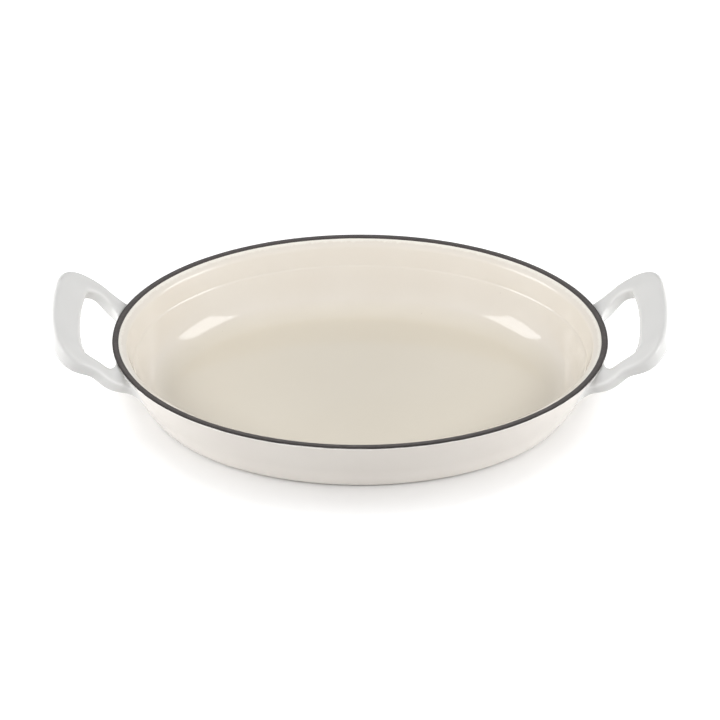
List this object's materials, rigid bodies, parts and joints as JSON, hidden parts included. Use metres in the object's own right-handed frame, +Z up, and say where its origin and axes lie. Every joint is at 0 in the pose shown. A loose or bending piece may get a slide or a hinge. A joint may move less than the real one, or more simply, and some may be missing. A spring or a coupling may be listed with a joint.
{
  "type": "oval baking dish",
  "caption": "Oval enamelled cast-iron baking dish, white outside and sand inside, with a bare dark rim band and a raised loop handle at each end of the oval.",
  "frame": {"origin": "middle of the footprint, on the surface that the dish stands on", "axes": "+X along the oval towards the right handle, +Y across the oval to the back, +Z up"},
  "size_m": [0.4022, 0.248, 0.0708],
  "materials": {
    "cast_iron": "as cast, under the enamel",
    "white_enamel": "gloss warm white vitreous enamel",
    "sand_enamel": "gloss pale sand vitreous enamel",
    "rim_coat": "matt dark grey ground coat"
  },
  "bodies": {
    "root": {"iron_bowl": "cast_iron", "exterior_enamel": "white_enamel", "interior_enamel": "sand_enamel", "base_enamel": "white_enamel", "rim_band": "rim_coat", "left_handle": "cast_iron", "left_handle_enamel": "white_enamel", "right_handle": "cast_iron", "right_handle_enamel": "white_enamel"}
  },
  "joints": []
}
